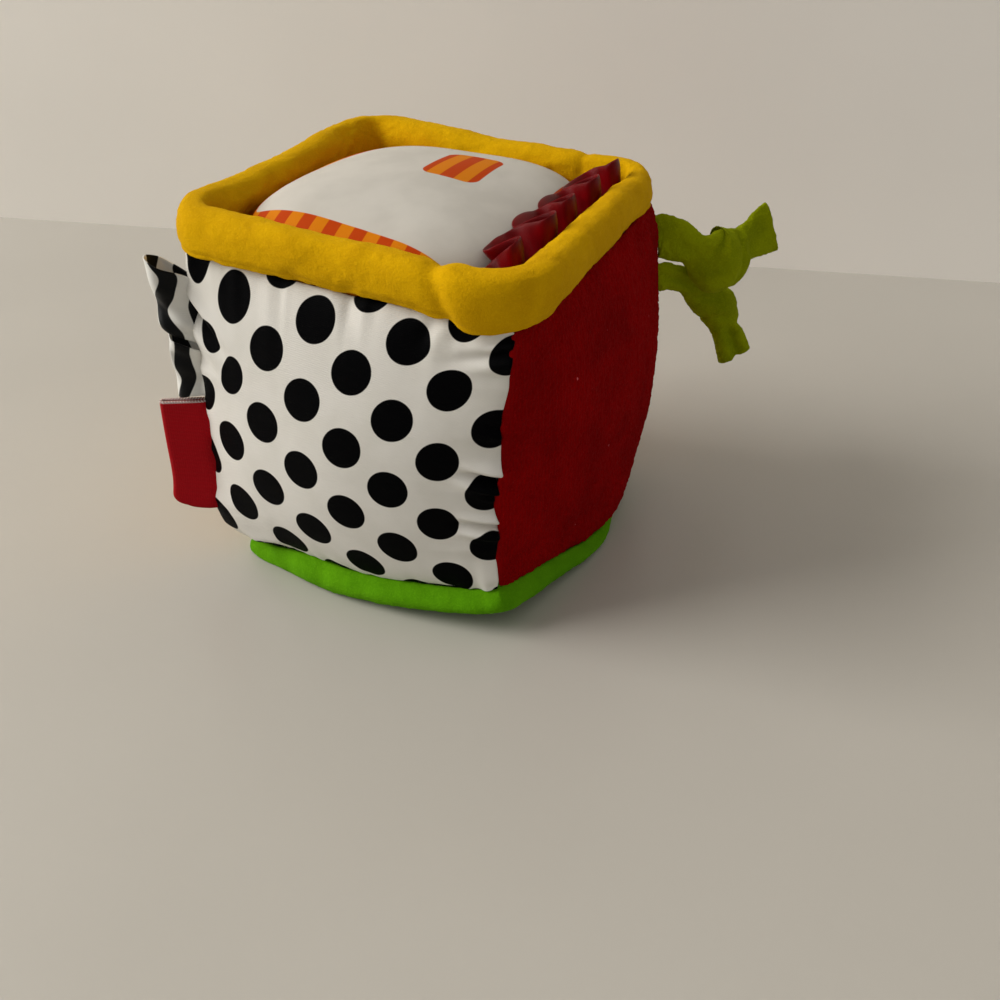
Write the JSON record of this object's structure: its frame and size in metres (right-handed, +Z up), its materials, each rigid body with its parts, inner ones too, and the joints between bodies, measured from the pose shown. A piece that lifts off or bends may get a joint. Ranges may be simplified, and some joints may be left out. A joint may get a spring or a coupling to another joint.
{
  "type": "soft activity block",
  "caption": "Padded fabric play block with sewn side panels, raised plush collar, gathered ruffle, ribbon loops, folded label loop and knotted tails.",
  "frame": {"origin": "middle of the flat patch that the block rests on, on the floor plane", "axes": "+Z up, -Y out of the dotted front, +X out of the red terry side"},
  "size_m": [0.1342, 0.1309, 0.1042],
  "materials": {
    "dotted_satin": "white satin with black dots",
    "red_terry": "short red terry pile",
    "striped_satin": "orange and amber striped satin",
    "yellow_velour": "short yellow pile",
    "white_satin": "white satin with orange and amber stripes",
    "green_velour": "short lime pile",
    "tail_velour": "short olive lime pile",
    "red_satin": "red satin",
    "zebra_ribbon": "black and white satin ribbon",
    "woven_label": "woven red tape",
    "fibre": "loose polyester fibre",
    "clear_plastic": "natural plastic",
    "bead_plastic": "solid plastic"
  },
  "bodies": {
    "block": {"front_panel": "dotted_satin", "right_panel": "red_terry", "back_panel": "striped_satin", "left_panel": "yellow_velour", "top_panel": "white_satin", "bottom_panel": "green_velour", "collar_cover": "yellow_velour", "collar_padding": "fibre", "ruffle": "red_satin", "fill_lower": "fibre", "fill_upper": "fibre", "rattle_shell_lower": "clear_plastic", "rattle_shell_upper": "clear_plastic"},
    "label": {"label_loop": "woven_label"},
    "upper_ribbon": {"ribbon_loop_upper": "zebra_ribbon"},
    "lower_ribbon": {"ribbon_loop_lower": "zebra_ribbon"},
    "upper_tail": {"tail_upper": "tail_velour"},
    "lower_tail": {"tail_lower": "tail_velour"},
    "bead_1": {"rattle_bead_1": "bead_plastic"},
    "bead_2": {"rattle_bead_2": "bead_plastic"},
    "bead_3": {"rattle_bead_3": "bead_plastic"}
  },
  "joints": [
    {"name": "label_swing", "type": "hinge", "parent": "block", "child": "label", "pos_m": [-0.04568, -0.04596, 0.0175], "axis": [-0.0153, 0.0169, 0.9997], "range_deg": [-25, 45], "stiffness_Nm_per_rad": 0.0006},
    {"name": "ribbon_upper_swing", "type": "hinge", "parent": "block", "child": "upper_ribbon", "pos_m": [-0.04578, -0.0445, 0.0664], "axis": [-0.0059, 0.0262, 0.9996], "range_deg": [-20, 55], "stiffness_Nm_per_rad": 0.0003},
    {"name": "ribbon_lower_swing", "type": "hinge", "parent": "block", "child": "lower_ribbon", "pos_m": [-0.04614, -0.04531, 0.0524], "axis": [0.0264, 0.0585, 0.9979], "range_deg": [-20, 50], "stiffness_Nm_per_rad": 0.0003},
    {"name": "tail_upper_swing", "type": "hinge", "parent": "block", "child": "upper_tail", "pos_m": [0.0474, 0.04568, 0.07158], "axis": [-0.0561, -0.0773, 0.9954], "range_deg": [-50, 5], "stiffness_Nm_per_rad": 0.0008},
    {"name": "tail_lower_swing", "type": "hinge", "parent": "block", "child": "lower_tail", "pos_m": [0.04769, 0.04619, 0.06114], "axis": [-0.0257, -0.0469, 0.9986], "range_deg": [-5, 50], "stiffness_Nm_per_rad": 0.0008},
    {"name": "bead_1_slide", "type": "slide", "parent": "block", "child": "bead_1", "axis": [0, 0, 1], "range_m": [0, 0.016]},
    {"name": "bead_2_slide", "type": "slide", "parent": "block", "child": "bead_2", "axis": [0, 0, 1], "range_m": [0, 0.016]},
    {"name": "bead_3_slide", "type": "slide", "parent": "block", "child": "bead_3", "axis": [0, 0, 1], "range_m": [0, 0.016]}
  ]
}
